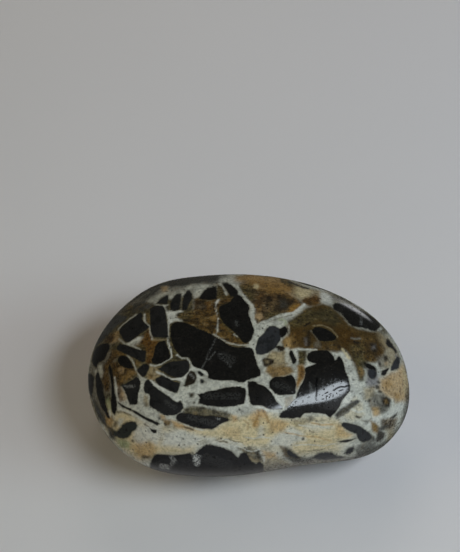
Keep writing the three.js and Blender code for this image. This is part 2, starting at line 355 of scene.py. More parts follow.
    ("cream", 6, 0.95, "115,412 128,411 140,422 150,430 164,427 184,430 214,428 230,418 246,415 262,409"
        " 280,417 292,420 306,418 326,417 338,420 352,437 346,444 338,451 316,452 300,455 284,449 244,447"
        " 226,440 208,438 196,443 192,453 160,455 140,460 128,454 116,442 108,430"),
    ("white", 4, 0.9, "134,424 146,426 160,426 164,434 156,446 148,440 140,446 134,438"),
    ("white", 4, 0.95, "164,431 180,429 206,438 200,444 190,447 172,447 160,446"),
    ("pale", 2.5, 0.7, "180,432 186,431 187,447 181,447"),
    ("white", 3.5, 0.85, "280,431 292,427 302,432 306,440 296,443 290,449 268,446 272,438"),
    ("pale", 3, 0.8, "203,405 225,407 240,405 256,406 258,411 246,414 234,415 220,409"),
    ("white", 2.5, 0.55, "258,418 263,416 264,438 258,438"),
    ("white", 2.5, 0.5, "208,437 226,441 240,445 236,449 222,445 208,442"),
    ("white", 4, 0.5, "306,422 328,421 334,427 318,433 304,430"),
    ("white", 3.5, 0.5, "336,441 350,440 356,447 344,449 334,447"),
    ("green", 2.5, 0.9, "117,438 124,438.5 130,443 128,449 120,447"),
    ("tan", 3.5, 0.7, "130,446 140,442 152,443 156,450 152,458 138,458"),
    ("tan", 2.2, 0.9, "170,420 178,422 188,426.5 200,430 190,431 174,427"),
    ("ochre", 1.6, 0.9, "162,420 167,419.5 171,421.5 169,425.5 165,426"),
    ("peach", 1.6, 0.9, "159,414.5 164,415.5 165,419 161,420.5"),
    ("tan", 2.0, 0.85, "231,415 236.5,415 237,420 232,422"),
    ("amber", 2.2, 0.75, "262,409 266,411 257,427 252,427 254,420 258,413"),
    ("tan", 3, 0.8, "248,418 256,411 266,410 268,417 262,424 254,428"),
    ("tan", 3.2, 0.75, "268,419 280,419 289,424 284,431 270,432"),
    ("cream", 2, 0.8, "259,417 264,418 264,425 259,425"),
    ("olive", 2, 0.45, "292,421 302,418 312,415.5 316,419 308,423 297,427"),
    ("grey", 1.8, 0.7, "307,418 313,416.5 315,419 309,421.5"),
    ("tan", 3, 0.65, "335,424 341,424 346,431 354,434 348,438 336,437"),
    ("tan", 3, 0.35, "222,427 240,428 240,440 226,436"),
    ("olive", 2.2, 0.8, "238,449 250,447.5 258,450 262,457 262,464 252,462 244,454"),
    ("buff", 1.4, 0.85, "248,456 252,455.5 255,459 259,459 260,462 252,462"),
    ("tan", 3, 0.8, "263,451 275,452 276,459 264,460"),
    ("buff", 3, 0.7, "262,460 280,457 292,463 290,468 264,470"),
    # painted shade: grey along the bottom rim, where the front turns under
    ("grey", 3, 0.8, "262,465 280,463 296,464 300,472 262,474"),
    ("smoke_and_rim_shade", 2.5, 0.9, "280,446 290,449 297,454 303,457.5 308,459 313,457 312,463 300,464 292,461"
        " 285,457"),
    ("brown", 1.8, 0.6, "280,447 286,448.5 288,456 284,455"),
    ("smoke_and_rim_shade", 2.5, 0.6, "290,456 300,457 312,457 312,463 296,463"),
    # painted shade: a dark band along the lower right rim
    ("smoke_and_rim_shade", 3, 0.85, "340,459 354,455 368,449 386,440 398,426 410,430 398,450 376,462 350,470 336,470"),
    # painted shade: grey along the bottom rim, where the front turns under
    ("grey", 3, 0.9, "292,463 320,459 342,458 342,472 292,474"),
    ("smoke_and_rim_shade", 2.5, 0.75, "355,449 360,446 369,446 372,450 364,456 355,457"),
    ("umber", 1.5, 0.8, "142,455 149,456 150,459 143,459"),
    ("umber", 1.5, 0.85, "256,452 259.5,451 261,456 260,461 257,458"),
    # right end
    ("buff", 4, 0.8, "378,334 388,337 396,346 400,356 396,364 388,370 380,366 385,352"),
    ("grey", 2.5, 0.6, "377,357 384,354 390,358 388,367 379,370"),
    ("umber", 1.6, 0.75, "383.5,356 387,355.5 388,360 385,361.5"),
    ("umber", 1.3, 0.8, "379,361.5 381,362.5 381,366.5 379,366"),
    ("peach", 1.3, 0.6, "385,362 388,361.5 388,365 385.5,365"),
    ("olive", 2.2, 0.9, "353,356 362,356 368,362 366,368 358,367"),
    ("smoke_and_rim_shade", 2, 0.7, "361,361 367,362 368,368 363,368"),
    ("lilac", 2.5, 0.85, "366,366 372,368 378,374 379,386 372,391 367,385"),
    ("peach", 4, 0.95, "380,378 388,374 396,371 402,362 412,376 412,400 402,402 384,396 379,390"),
    ("amber", 3, 0.5, "383,380 392,379 394,386 387,389 383,386"),
    ("amber", 2.2, 0.5, "394,393 400,393 400,402 395,402"),
    ("buff", 3.5, 0.85, "364,388 374,387 377,396 371,402 364,400"),
    ("grey", 3, 0.9, "368,402 374,394 384,394 390,400 388,410 381,414 371,411"),
    ("umber", 1.8, 0.95, "381.5,398 387,397 390.5,401 389,406.8 383,407 380.5,402"),
    ("ochre", 1.3, 0.7, "383.3,400.5 386.5,400 387.5,403.5 384.5,405"),
    ("smoke_and_rim_shade", 2.2, 0.6, "378,404 386,405 386,413 380,413"),
    ("tan", 2.2, 0.85, "373,408 378,408 380,417 374,418"),
    ("white", 2.2, 1.0, "366,425 372,418 382,415 392,409 402,402 404,408 394,415 384,420 374,427"),
    ("cream", 3, 0.45, "346,398 356,397 363,404 364,415 352,421 343,415"),
    ("smoke_and_rim_shade", 1.3, 1.0, "334.5,414.5 340,409 345,404.8 350,401.6 357,398.4 359.8,401 353,407 347,411.6"
        " 342,414.6 337,417"),
    ("olive", 1.2, 0.5, "338,413.5 345,407.5 352,402.8 355,402 348,409 341,414.5"),
    ("white", 1.6, 0.9, "340,407 343,402 345,398 349,394 352,396 350,402 345,406"),
    ("brown", 2.5, 0.8, "381,419 390,418 397,419 396,426 390,430 383,428"),
    ("umber", 1.4, 1.0, "390,418.3 393,415 397.5,412 396.5,415.5 393,418.5"),
    ("ochre", 2, 1.0, "371,421 376,423 380,427 379,434 374,433 371.5,428"),
    ("smoke_and_rim_shade", 3, 0.7, "364,440 372,436 378,440 376,448 366,450 360,446"),
    ("umber", 2.0, 0.95, "378.5,431.5 382,430 385,433 384,437.5 381,441.5 376.5,441 377,436"),
    ("smoke_and_rim_shade", 2.0, 0.9, "378,429 383,425.5 389,424.5 388,430 381,431"),
    ("smoke_and_rim_shade", 1.6, 0.9, "371.5,436.5 374,436.5 375.5,439.5 372.5,441.5"),
    ("buff", 3, 0.7, "386,430 394,427 394,436 388,441"),
    ("smoke_and_rim_shade", 1.2, 1.0, "354.5,415.2 361.8,415.8 360,418 356,417.5"),
    ("cream", 2, 0.5, "402,364 407,370 409,384 407,396 404,392"),
    # painted shade: a dark band along the right rim
    ("smoke_and_rim_shade", 1.6, 0.4, "405,352 409,368 411.5,385 410.5,404 405,420 399,431 412,430 418,390 412,350"),
    # painted shade: a dark band along the lower left rim
    ("smoke_and_rim_shade", 2.5, 1.0, "106,426 112,427 117,433 116,440 110,439"),
    ("umber", 1.5, 0.75, "114.3,420.5 117.8,419.8 118,424 116,428.5 113.3,427"),
    ("pale", 1.8, 0.9, "119,418.5 125,419 122.5,423.5 119,427.5 118,423"),
    ("green", 1.8, 0.6, "104.5,400 109,398 111,405 110.5,412 107,409"),
    ("tan", 1.8, 0.8, "105,414 111,416 113,421 111,428 106,424"),
    ("white", 1.4, 0.9, "167,311 182,311.8 176,315.5 177,318.5 183,321.5 176,321.5 170,323"),
    # painted shade: a dark band along the right rim
    ("smoke_and_rim_shade", 2.2, 0.75, "406,388 409,386 411,404 407,420 401,434 396,436 401,420 404.5,406"),
]

# Threads and veins: mineral, half width in squares, strength, and the line on the sheet.
VEINS = [
    ("grey", 0.8, 0.9, "193.5,285 193,292 193.5,300 193.5,309"),
    ("grey", 0.9, 0.9, "181.5,294 181.3,303 180.8,310"),
    ("olive", 1.4, 0.7, "218,288 218,300"),
    ("white", 1.2, 0.9, "219,300.5 217,303"),
    ("pale", 0.5, 0.9, "216.7,303 216.3,307 216.8,312"),
    ("pale", 0.4, 0.7, "217,312 217.5,318"),
    ("white", 0.6, 0.9, "218,318 218.3,322 217.7,327"),
    ("pale", 1.1, 0.9, "217,328 218,331"),
    ("pale", 0.4, 0.7, "217,331 216,335"),
    ("pale", 0.8, 0.9, "220,281 227,281.6 233,284 237.5,288.5 241.5,294"),
    ("olive", 1.8, 0.9, "240.5,286 243.5,290 246,294.5 250,299"),
    ("white", 0.7, 0.8, "230,283.3 235,286.5"),
    ("pale", 1.3, 0.85, "219,284.5 222,287 224.5,290.5 226.5,294"),
    ("pale", 1.0, 1.0, "242,295 245,299 249,303.5"),
    ("pale", 2.0, 1.0, "251,305.5 253,309 253,313 252.5,318 254,324"),
    ("olive", 0.9, 0.8, "219.3,311 220.5,317 224.5,324.5 235,334.7 240,340.5"),
    ("pale", 0.8, 0.9, "234.5,334.5 238,336.5"),
    ("pale", 0.7, 0.9, "213.5,334.8 218,337.3 221,339.5"),
    ("pale", 0.6, 0.95, "221,339.5 226,342.7 231,344.7 238,345.5 246,344.8 252,343"),
    ("pale", 1.5, 0.95, "260,324 266,321.6 272,318.4 279,315.4 285,313.4"),
    ("white", 1.3, 0.95, "285,313.6 291,312.4 297,309.8 302,306.4 304.5,304.4"),
    ("pale", 0.4, 0.8, "284,319 286.5,322 289,328 289.3,334"),
    ("green", 1.1, 0.6, "279,320 282,319 285,321 285,325"),
    ("buff", 0.5, 0.9, "314,326.2 320,325.9 327,327.8 332,330.2 336,334.5 337.5,338"),
    ("grey", 0.6, 0.9, "311,331 314,334.5 319,341.3"),
    ("white", 0.7, 0.9, "118,329.5 124,323.8 130,318.9 136,315"),
    ("white", 1.0, 0.9, "143.8,314 143.6,319 145,322.8 149,325.6"),
    ("white", 0.8, 1.0, "163,304.7 165.7,308.5 167.3,315 168.3,322 169,330 168.8,338"),
    ("white", 1.9, 1.0, "171,311.5 170.3,321"),
    ("white", 0.7, 1.0, "168.3,340 169,345 170.7,351 172,358"),
    ("white", 0.6, 0.8, "155,304.2 160,304.9 167,304.9"),
    ("white", 1.1, 1.0, "182,311.6 176,312 171,313 168,314"),
    ("pale", 0.8, 0.9, "172,318.6 176,320.3 182,321"),
    ("buff", 0.6, 0.9, "153,338.8 167,339.3"),
    ("white", 1.4, 0.95, "129,343.7 134,341.3 138.5,338.5"),
    ("white", 0.6, 0.95, "119.5,339 124.5,343.3 129,344.6 141,349.3"),
    ("pale", 0.8, 0.9, "127,354.8 131,358.8 134,363.8 135.7,369 137.3,372.5 140.5,376.5 144,378.7"),
    ("pale", 0.9, 0.8, "149.5,327 150.5,332.5 152,338"),
    ("white", 0.7, 0.95, "150,364.5 155,365.8 160,364.3 165,361.7 170,359.5 172,358"),
    ("lilac", 0.7, 0.8, "159,372.5 162,373.8"),
    ("white", 0.9, 1.0, "157,371 162,373.5 167,376.5 172,378.8 178,380 182.5,381.5"),
    ("white", 1.4, 1.0, "178,379.3 184,378.7 187,374.5 189.5,371.5"),
    ("white", 1.3, 1.0, "151,380.5 156,385 162,388.7 168,393.3 179,400"),
    ("white", 0.8, 1.0, "177,355.3 183,358.6 188,358.2 190.5,363 192.5,367.5"),
    ("white", 1.2, 1.0, "192.5,368 198,369.3 203,371.3 206.5,374"),
    ("white", 0.9, 1.0, "197,372 198.5,380 197,394"),
    ("white", 0.9, 0.9, "114.3,378 116.3,394 118,402"),
    ("grey", 1.0, 0.9, "108.5,351 106.5,357 103,362 99,365"),
    ("white", 0.9, 0.9, "95.3,370.5 96.3,376"),
    ("pale", 0.7, 0.9, "93.5,378.5 95,381"),
    ("grey", 0.8, 0.9, "94,386 93.2,392"),
    ("white", 0.8, 0.9, "109,410 109.5,416"),
    ("white", 1.6, 1.0, "246.7,383 247,392 246.7,400 247.5,406"),
    ("white", 1.0, 1.0, "267,383.5 269.7,389.7 278.5,400 282.7,406"),
    ("white", 1.0, 1.0, "255,406.8 262,407.3 268,410.2 284,410.6"),
    ("white", 0.8, 0.9, "184,424.8 190,427.3 197,429.6 202,430.3"),
    ("smoke_and_rim_shade", 0.8, 0.9, "184,427.5 189,429 193,430.6"),
    ("pale", 1.0, 1.0, "295,349.7 306,349.2 316,350"),
    ("white", 0.9, 0.9, "296.8,350.5 297.7,358 297.5,364"),
    ("white", 0.9, 0.9, "305.5,366 311,363.9 315,362.9"),
    ("white", 0.9, 0.9, "306,368 306.3,374"),
    ("cream", 1.3, 0.8, "342,349.5 345.5,353.5 349,358"),
    ("pale", 2.2, 1.0, "346,360 349,367 351.5,375"),
    ("umber", 1.1, 1.0, "304.8,326 307,324.2 310.8,322.4"),
    ("rust", 1.3, 0.8, "291,335.5 295,335.5"),
    ("grey", 0.8, 0.9, "352,338.4 360,338.7"),
    ("umber", 1.1, 1.0, "354.7,341.3 360,342.3"),
    # painted shade: a dark line along the top edge of the rim
    ("smoke_and_rim_shade", 0.9, 0.9, "288,281.5 295,284.5 302,287 309,290"),
    ("pale", 1.0, 0.8, "290,279.5 300,283.5 312,287.8 324,291"),
    ("olive", 1.0, 0.7, "117,411.5 124,412.5 131,415.5"),
    ("white", 0.9, 0.9, "121,409 137,416.5 145,421"),
    ("white", 0.8, 0.9, "147,427 152,426.3 158,428"),
    ("grey", 0.8, 0.8, "145,424 149,426.3"),
    ("olive", 0.7, 0.8, "219,440.8 223.5,440.6 228,442.8"),
    ("white", 0.5, 0.9, "202,438 208,439 215,438.2"),
    ("white", 0.5, 0.9, "222,438.5 228,440 233,443 240,444.3 246,447.5"),
    ("white", 0.5, 0.9, "232,447 238,446.5 244,449.5 252,451.5 260,450"),
    ("white", 0.5, 0.8, "214,442.5 222,445.5 229,447.5"),
    ("white", 0.5, 0.9, "246,437.5 254,439 262,437.3 270,438.3"),
    ("olive", 0.4, 0.7, "229,439.3 235,442 242,442.8"),
    ("olive", 0.4, 0.7, "216,439.8 222,437.2"),
    ("olive", 0.4, 0.6, "238,448 246,451"),
    ("amber", 1.1, 0.75, "257.5,410.5 258.3,414 253.5,425"),
    ("amber", 1.2, 0.6, "263,410.5 266,415 268,421"),
    ("amber", 0.9, 0.5, "244,420 248,424 247,430"),
    ("tan", 0.9, 0.7, "312,423 322,425.5 332,424"),
    ("tan", 0.8, 0.6, "286,432 300,436 316,437 330,441"),
    ("white", 0.7, 0.7, "300,425 314,427.5 328,428"),
    ("white", 0.6, 0.7, "296,446 308,444 322,446 334,444"),
    ("olive", 0.5, 0.5, "300,451 310,450.5 322,449.5"),
    ("white", 1.0, 0.9, "238,453.5 238.3,458"),
    ("white", 0.9, 0.9, "262.5,458 264,461"),
    # painted highlight: a pale line along the lower edge of the great right fragment
    ("white", 1.0, 0.8, "322,413 328,413.5 327,416"),
    ("grey", 0.9, 0.9, "336,417.5 343,414.3 349,410.5"),
    # painted highlight: a lavender gleam along the right hook's edge
    ("lilac", 1.1, 0.8, "396,355 397.5,361"),
    ("white", 1.0, 0.9, "352,409 358,411.5 364,411"),
    ("grey", 0.9, 0.7, "362,420 368,422 372,419"),
]

# Small dark grains: x, y and radius in squares.
GRAINS = [
    (268.5, 304, 2.1), (269.5, 298, 1.8), (279, 297, 1.6), (283.5, 295.3, 1.0), (288, 303, 1.2),
    (197, 313, 1.7), (197.5, 322.5, 1.9), (207, 313.5, 1.6), (209.5, 328.5, 1.2), (313.3, 315.3, 1.4),
    (203, 301.5, 1.1), (199.5, 303.5, 1.0), (201, 317, 0.9), (212, 312, 0.9), (209, 321, 0.9),
    (334, 346, 1.4), (338.8, 347.3, 1.5), (303.5, 331.5, 1.5), (309, 344, 1.2), (295, 343, 1.2),
    (372, 344.5, 1.5), (374, 350.5, 1.5), (385.5, 358.5, 1.6), (379.8, 363.5, 1.4), (378.5, 382, 1.6),
    (377.5, 387.7, 2.3), (379.8, 392.3, 2.0), (370, 401, 1.7), (271.5, 361.8, 1.3), (263, 361, 1.5),
    (265.5, 366, 1.2), (302.5, 439, 1.4), (316.7, 421, 1.1), (159, 418.8, 1.5), (165.5, 424.5, 1.4),
    (204.8, 437, 1.0), (191, 395.3, 1.6), (194.5, 403, 1.2), (181, 401.5, 1.2), (121, 371, 1.2),
    (124.5, 374, 1.0), (114.5, 366, 1.3), (113, 369, 1.2), (118.5, 367, 0.9), (367, 382.3, 1.1),
    (239.8, 409.7, 1.3), (132.3, 440.5, 1.2), (145, 424.5, 0.9), (195.8, 439, 0.9), (271.5, 441.5, 0.8),
    (248, 440, 0.8), (249, 447, 0.8), (295.5, 402, 1.0), (361.5, 351.3, 1.5), (367.3, 351, 1.1),
    (355, 351, 1.0), (358, 346, 1.0), (369, 357, 0.9), (107, 390.5, 1.2), (253, 300, 0.9),
    (260, 305, 0.9), (275, 310, 1.1), (288, 309, 0.8), (340, 322, 0.9), (298, 321, 1.0), (321, 345, 1.0),
    (328, 349, 1.0), (186, 316, 0.8), (192.3, 452.5, 1.0), (177, 436, 0.7), (183, 439, 0.7),
    (184.5, 444, 0.7), (386, 424, 1.3), (378, 441, 1.0), (363, 448, 1.0), (243, 411, 0.8),
    (349, 366, 0.8), (347.5, 373, 0.7), (352.5, 379, 0.8), (351, 391, 0.8), (354.5, 396, 0.7),
    (358, 405, 0.7), (346, 361, 0.7), (196, 308, 0.9), (202, 310, 0.8), (206, 306, 1.0), (211, 322, 1.1),
    (203, 327, 0.8), (214, 326, 0.9), (190, 320, 0.9), (184, 313, 0.8), (200, 314, 0.9), (198, 329, 0.9),
    (226, 335, 0.8), (226, 300, 0.8), (224, 331, 0.7), (232, 338, 0.7), (246, 291, 1.0), (256, 292, 1.0),
    (262, 300, 1.0), (258, 307, 0.9), (272, 300, 1.3), (276, 305, 1.0), (282, 308, 0.9), (264, 296, 0.9),
    (292, 300, 1.0), (284, 312, 0.9), (291, 326, 0.9), (308, 317, 0.8), (330, 312, 0.9), (326, 322, 0.8),
    (352, 334, 0.8), (358, 356, 1.0), (366, 358, 0.9), (372, 356, 1.0), (380, 345, 1.0), (376, 340, 0.9),
    (349, 341, 0.7), (117.5, 373.5, 1.0), (121.5, 375.5, 0.9), (126.5, 371.5, 0.9), (130, 373, 0.8),
    (138.5, 361.5, 1.0), (150, 341, 0.8), (150.5, 347, 0.8), (147.5, 356, 0.8), (154.5, 369.5, 0.8),
    (152, 375, 0.8),
]

# Light scratches and clouds inside the fragments, broken up by the material, and then dark cracks
# across the fragments: half width in squares, strength, and the line on the sheet.
SCRATCHES = [
    (0.6, 0.16, "215.3,338.5 213,345 210,350 207.5,355.5 206,361 202,368"),
    (0.6, 0.20, "215,352 211.3,356.5 208.5,360"),
    (0.8, 0.16, "218,353 221.5,354.5 223.5,359 227.5,363 231,367"),
    (4.0, 0.05, "222,356 232,360"),
    (1.3, 0.30, "124,386.5 134,386.3"),
    (1.4, 0.25, "190,373.7 194,378"),
    (1.3, 0.40, "217,418.6 219,418.8"),
    (3.0, 0.05, "190,417 216,424"),
    (2.5, 0.05, "166,402 175,408"),
    (1.5, 0.10, "236,321.5 237.3,325"),
    (3.5, 0.04, "206,396 238,396"),
    (3.5, 0.04, "276,384 288,388"),
    (1.6, 0.12, "309.5,383 311.5,388 312,394"),
    (1.4, 0.70, "193.5,455.5 197,458 200,456.5"),
    (3.2, 1.00, "196,457.5 197,463"),
    (2.6, 0.60, "162,466 168,467.5"),
    (2.0, 0.50, "171.5,457 174.5,461 172,464"),
    (5.0, 0.03, "160,465 190,464"),
    (5.0, 0.03, "205,458 228,464"),
    (1.2, 0.20, "361,324 361.3,318"),
]
CRACKS = [
    (0.9, 1.0, "317,378 316.4,384 316.8,391 316.3,396"),
    (0.5, 1.0, "316.3,396 316,400"),
    (0.4, 1.0, "306,384 309.5,380.5"),
    (0.8, 1.0, "333.5,390.5 337.5,387.8 341,386.6 344.5,387 349,385.3"),
    (0.6, 1.0, "339,391 343,389.6"),
    (0.6, 1.0, "325,393.5 328,392"),
    (0.5, 1.0, "329,394.6 331.5,393.4"),
    (0.5, 1.0, "307.5,397.6 308.7,397.6"),
    (0.5, 1.0, "322,399.3 324,398.8"),
]

# ---- colours ---------------------------------------------------------------------------------


def paint(red, green, blue, grain=1.0):
    """A colour given as it shows on a screen, 0 to 255, in the linear values that shaders take."""
    screen = np.array([red, green, blue]) / 255
    linear = np.where(screen <= 0.04045, screen / 12.92, ((screen + 0.055) / 1.055) ** 2.4)
    return (*linear.tolist(), grain)


FRAGMENT_COLOUR = {
    "black": paint(22, 21, 19),
    "charcoal": paint(34, 34, 33),
    "slate": paint(42, 43, 43),
    "blue_slate": paint(51, 52, 54),
    "green_slate": paint(48, 51, 48),
    "ash": paint(58, 58, 59),
    "smoky": paint(72, 73, 72),
    "umber": paint(44, 37, 28),
}
# The last number of a mineral is how grainy it is.
MINERAL_COLOUR = {
    "white": paint(216, 215, 202, 0.25),
    "pale": paint(206, 205, 190, 0.42),
    "cream": paint(221, 203, 158, 0.28),
    "buff": paint(160, 143, 108, 0.50),
    "tan": paint(202, 166, 110, 0.45),
    "peach": paint(196, 166, 122, 0.50),
    "amber": paint(152, 114, 54, 0.50),
    "ochre": paint(142, 113, 66, 0.55),
    "rust": paint(106, 75, 35, 0.80),
    "russet": paint(76, 54, 22, 0.35),
    "brown": paint(96, 73, 37, 1.00),
    "chestnut": paint(80, 62, 31, 0.50),
    "olive": paint(88, 79, 49, 0.90),
    "green": paint(168, 176, 132, 0.35),
    "grey": paint(124, 119, 106, 0.45),
    "lilac": paint(128, 125, 126, 0.25),
    # this dark colour is both smoky stains and the painted shade laid along the stone's rims
    "smoke_and_rim_shade": paint(68, 67, 61, 0.50),
    "umber": paint(38, 31, 22, 0.40),
}
GROUND_SHADE = paint(122, 123, 124)  # multiplied into the ground where it is mottled or streaked
# What shows inside the fragments.
WARM_MOTTLE = paint(58, 52, 44)
DARK_CLOUD = paint(14, 14, 13)
PALE_VEIL = paint(96, 92, 88)
PALE_SCRATCH = paint(190, 190, 184)
DARK_CRACK = paint(8, 8, 8)

# ---- making the stone ------------------------------------------------------------------------


def along(values, share):
    """The value of a list of station values at each share of the half length."""
    weights = np.exp(-(((share[:, None] - STATIONS) / STATION_REACH) ** 2))
    return (weights * values).sum(1) / weights.sum(1)


def facing(azimuth, elevation):
    """The way that an azimuth, counted from +X towards +Y, and an elevation point, in degrees."""
    azimuth, elevation = math.radians(azimuth), math.radians(elevation)
    level = math.cos(elevation)
    return np.array([level * math.cos(azimuth), level * math.sin(azimuth), math.sin(elevation)])


def surface_points(directions):
    """The stone's surface in millimetres from its middle, for each direction."""
    share = directions[:, 0]
    points = np.column_stack([
        LENGTH / 2 * share,
        along(SIDE_SHIFT, share) + along(HALF_WIDTH, share) * directions[:, 1],
        along(LIFT, share) + along(HALF_HEIGHT, share) * directions[:, 2],
    ])
    for azimuth, elevation, distance, softness in WORN_FLATS:
        normal = facing(azimuth, elevation)
        over = (points @ normal - distance) / softness
        points = points - np.outer(softness * np.logaddexp(0, over), normal)
    points[:, 2] = np.maximum(points[:, 2], -REST_DEPTH)
    return points


def normalised(vectors):
    return vectors / np.linalg.norm(vectors, axis=1)[:, None]


def pebble_mesh():
    """The stone as a finely divided cube, blown out to the surface, with its place in its mesh."""
    stone = bmesh.new()
    bmesh.ops.create_cube(stone, size=2)
    bmesh.ops.subdivide_edges(stone, edges=stone.edges[:], cuts=FACE_SPLITS - 1, use_grid_fill=True)
    mesh = bpy.data.meshes.new("pebble_polished")
    stone.to_mesh(mesh)
    stone.free()
    corners = np.empty(len(mesh.vertices) * 3)
    mesh.vertices.foreach_get("co", corners)
    evened = np.tan(corners.reshape(-1, 3) * math.pi / 4)
    drawn = normalised(normalised(evened) + CROWDING * np.array(TOWARDS_VIEWER))
    points = surface_points(drawn)
    low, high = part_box("pebble")
    points[:, :2] -= (points.min(0) + points.max(0))[:2] / 2
    points[:, :2] += np.array((low + high) / 2)[:2] / MM
    points[:, 2] += low.z / MM - points[:, 2].min()
    mesh.vertices.foreach_set("co", (points * MM).ravel())
    mesh.update()
    mesh.polygons.foreach_set("use_smooth", np.ones(len(mesh.polygons), bool))
    return mesh, points


def vertex_normals(mesh):
    normals = np.empty(len(mesh.vertices) * 3)
    mesh.vertices.foreach_get("normal", normals)
    return normals.reshape(-1, 3)


# ---- the sheet -------------------------------------------------------------------------------


def viewing_point():
    """Where the sheet is looked at from, in millimetres."""
    low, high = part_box("pebble")
    middle = (low + high) / 2 / MM
    across, down = (MIDDLE_ON_SHEET - SHEET / 2) * SQUARE
    return middle - SHEET_RIGHT * across + SHEET_UP * down + TOWARDS_VIEWER * VIEW_DISTANCE


def on_sheet(points):
    """Each point's place on the sheet in squares, and its depth from the viewing point."""
    rays = points - np.array(viewing_point())
    depth = -(rays @ np.array(TOWARDS_VIEWER))
    scale = VIEW_DISTANCE / SQUARE / depth
    x = SHEET.x / 2 + scale * (rays @ np.array(SHEET_RIGHT))
    y = SHEET.y / 2 - scale * (rays @ np.array(SHEET_UP))
    return np.column_stack([x, y]), depth


def drawn_points(text):
    return np.array([[float(number) for number in pair.split(",")] for pair in text.split()])


def line_distance(places, start, end):
    run = end - start
    share = ((places - start) @ run / max(run @ run, 1e-9)).clip(0, 1)
    return np.linalg.norm(places - start - share[:, None] * run, axis=1)


def route_distance(places, corners):
    """Distance in squares from each place to an open line."""
    return np.minimum.reduce([line_distance(places, a, b) for a, b in zip(corners, corners[1:])])


def outline_distance(places, corners):
    """Distance in squares from each place to a closed outline: below zero inside it."""
    inside = np.zeros(len(places), bool)
    for start, end in zip(corners, np.roll(corners, -1, axis=0)):
        spans = (start[1] > places[:, 1]) != (end[1] > places[:, 1])
        if start[1] != end[1]:
            share = (places[:, 1] - start[1]) / (end[1] - start[1])
            inside ^= spans & (places[:, 0] < start[0] + share * (end[0] - start[0]))
    nearest = route_distance(places, np.vstack([corners, corners[:1]]))
    return np.where(inside, -nearest, nearest)


def ramp(values, start, end):
    """0 before start and 1 after end, with a smooth rise between them."""
    share = ((values - start) / (end - start)).clip(0, 1)
    return share * share * (3 - 2 * share)


# ---- the markings on the stone ---------------------------------------------------------------

LAYERS = 4  # neighbouring fragments lie in different layers, so that thin veins stay sharp
FAR = 12.0  # squares: a fragment isn't felt further away than this
NEIGHBOUR_GAP = 7.0  # squares: fragments closer than this go in different layers
EXTRA_DEPTH = 0.5  # how much deeper a fragment reaches than it is seen to, as a share of its width
END_STEEPNESS = 0.6  # how fast it ends there

VEIN_SOFTNESS = 0.7  # squares
GRAIN_SOFTNESS = 0.9  # squares
GRAIN_STRENGTH = 0.85
LINE_SOFTNESS = 0.8  # squares: the softest that the edge of a scratch or crack is
STAIN_SWIRLS = [(4.0, 1.6), (1.2, 0.7)]  # size of each swirl in millimetres, and its reach in squares
SWIRL_SEED = 3  # the same swirls on every run

# How far a spot is turned towards the viewing point goes from 1, square on, to 0, edge on.
HARDLY_SEEN = 0.02
DRAWN_TO = 0.12  # where the drawn markings give way to those of the unseen side
BORDER_WANDER = 0.16  # how far that border wanders
BORDER_BLEND = 0.04  # half its width
WANDER_SIZE = 4  # millimetres
DEPTH_WANDER = 2  # millimetres that the unseen end of a fragment wanders


def fragment_layers(places, depth, shown):
    """Each layer's distance to its nearest fragment, in squares, and each vertex's fragment colour."""
    layers = np.full((LAYERS, len(places)), FAR)
    held = [[] for _ in range(LAYERS)]
    nearest = np.full(len(places), FAR)
    colour = np.tile(FRAGMENT_COLOUR["black"], (len(places), 1))
    for finish, softness, text in FRAGMENTS.values():
        corners = drawn_points(text)
        low, high = corners.min(0) - FAR, corners.max(0) + FAR
        near = np.flatnonzero(((places > low) & (places < high)).all(1))
        distance = outline_distance(places[near], corners)
        seen = shown[near] & (distance < 0)
        reach = (min(high - low) - 2 * FAR) * SQUARE * EXTRA_DEPTH
        end = depth[near][seen].max() + reach if seen.any() else depth.min()
        distance = np.maximum(distance, (depth[near] - end) / SQUARE * END_STEEPNESS)
        distance = (distance / softness).clip(-FAR, FAR)
        room = [
            min((np.abs(outline_distance(other, corners)).min() for other in layer), default=FAR * 9)
            for layer in held
        ]
        roomy = [i for i in range(LAYERS) if room[i] > NEIGHBOUR_GAP]
        chosen = roomy[0] if roomy else int(np.argmax(room))
        held[chosen].append(corners)
        layers[chosen, near] = np.minimum(layers[chosen, near], distance)
        closer = distance < nearest[near]
        nearest[near[closer]] = distance[closer]
        colour[near[closer]] = FRAGMENT_COLOUR[finish]
    return layers, nearest, colour


def swirled(points, places):
    """The places on the sheet, moved about a little, so that stains have natural borders."""
    noise.seed_set(SWIRL_SEED)
    moved = places.copy()
    for size, reach in STAIN_SWIRLS:
        swirl = [noise.noise_vector(Vector(point)) for point in points / size]
        moved += reach * np.array(swirl)[:, :2]
    return moved


def ground_colour(places, drawn_side):
    """The colour of the stained ground at each vertex, with its graininess as the fourth value."""
    ground = np.tile(MINERAL_COLOUR["pale"], (len(places), 1))

    def lay(mineral, distance, softness, strength):
        amount = strength * drawn_side * ramp(-distance, -softness, softness)
        ground[:] += amount[:, None] * (MINERAL_COLOUR[mineral] - ground)

    for mineral, softness, strength, text in STAINS:
        lay(mineral, outline_distance(places, drawn_points(text)), softness, strength)
    for mineral, half_width, strength, text in VEINS:
        distance = route_distance(places, drawn_points(text)) - half_width
        lay(mineral, distance, VEIN_SOFTNESS, strength)
    for x, y, radius in GRAINS:
        distance = np.linalg.norm(places - (x, y), axis=1) - radius
        lay("umber", distance, GRAIN_SOFTNESS, GRAIN_STRENGTH)
    return ground


def line_strength(places, lines):
    """How strongly each vertex is covered by lines of a given half width and strength."""
    strongest = np.zeros(len(places))
    for half_width, strength, text in lines:
        beyond = route_distance(places, drawn_points(text)) - half_width
        soft = min(half_width, LINE_SOFTNESS)
        strongest = np.maximum(strongest, strength * ramp(-beyond, -soft, soft))
    return strongest


